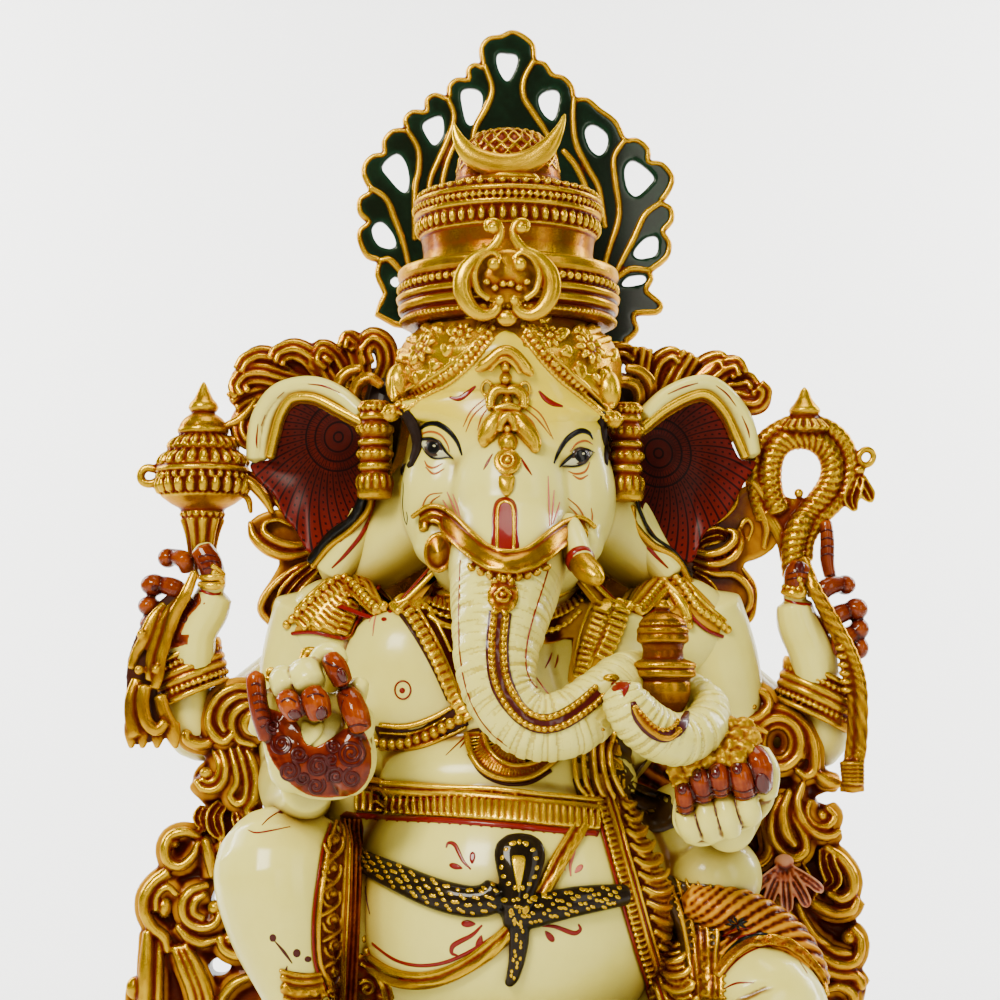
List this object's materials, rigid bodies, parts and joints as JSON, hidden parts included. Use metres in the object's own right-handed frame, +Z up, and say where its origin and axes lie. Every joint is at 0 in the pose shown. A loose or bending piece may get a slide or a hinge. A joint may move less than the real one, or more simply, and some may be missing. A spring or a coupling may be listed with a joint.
{
  "type": "ganesha idol",
  "caption": "Seated elephant-headed idol with tiered crown and pierced fan, painted ivory and antique gold, on a lotus base.",
  "frame": {"origin": "middle of the felt underside of the base", "axes": "+Z up towards the crown, the figure faces -Y, +X towards the idol's own left hand"},
  "size_m": [0.3777, 0.2226, 0.642],
  "materials": {
    "ivory": "polished, varnished",
    "gold": "antique gold paint over red-brown, varnished",
    "orange": "orange-brown paint, varnished",
    "green": "dark green enamel with gold edges",
    "black": "black paint with gold dots, varnished",
    "maroon": "maroon paint with black lines, varnished",
    "felt": "matt felt"
  },
  "bodies": {
    "root": {"base_felt": "felt", "plinth": "gold", "lotus_lower": "ivory", "lotus_upper": "orange", "seat_cushion": "maroon", "torso": "ivory", "head": "ivory", "trunk": "ivory", "ear_right": "maroon", "ear_left": "maroon", "tusk_right_cap": "gold", "tusk_left": "ivory", "leg_right": "ivory", "leg_left": "ivory", "arm_front_right": "ivory", "arm_front_left": "ivory", "arm_rear_right": "ivory", "arm_rear_left": "ivory", "hand_front_right": "orange", "hand_front_left": "orange", "hand_rear_right": "ivory", "hand_rear_left": "ivory", "sweets": "gold", "mace": "gold", "mace_ribbon": "gold", "noose": "gold", "noose_tail": "gold", "bracelet_rear_right": "gold", "bracelet_rear_left": "gold", "crown_dome": "gold", "crown_ring_lower": "gold", "crown_ring_upper": "gold", "crown_bun": "gold", "crescent": "gold", "crown_medallion": "gold", "crown_fan": "green", "forehead_pendant": "gold", "snout_band": "gold", "trunk_chain": "gold", "ear_tassel_right": "gold", "ear_tassel_left": "gold", "hair_plume_right": "orange", "hair_plume_left": "orange", "collar_right": "gold", "collar_left": "gold", "breast_band_right": "gold", "breast_band_left": "gold", "under_band_right": "gold", "chest_pendant": "gold", "waistband": "gold", "snake_belt": "black", "dhoti_fold_right": "orange", "stole_left": "gold", "shawl_fold_right": "orange", "shawl_fold_left": "orange", "kalash_pot": "gold", "scroll_frame_right": "gold", "scroll_frame_left": "gold", "throne_back": "gold"}
  },
  "joints": []
}
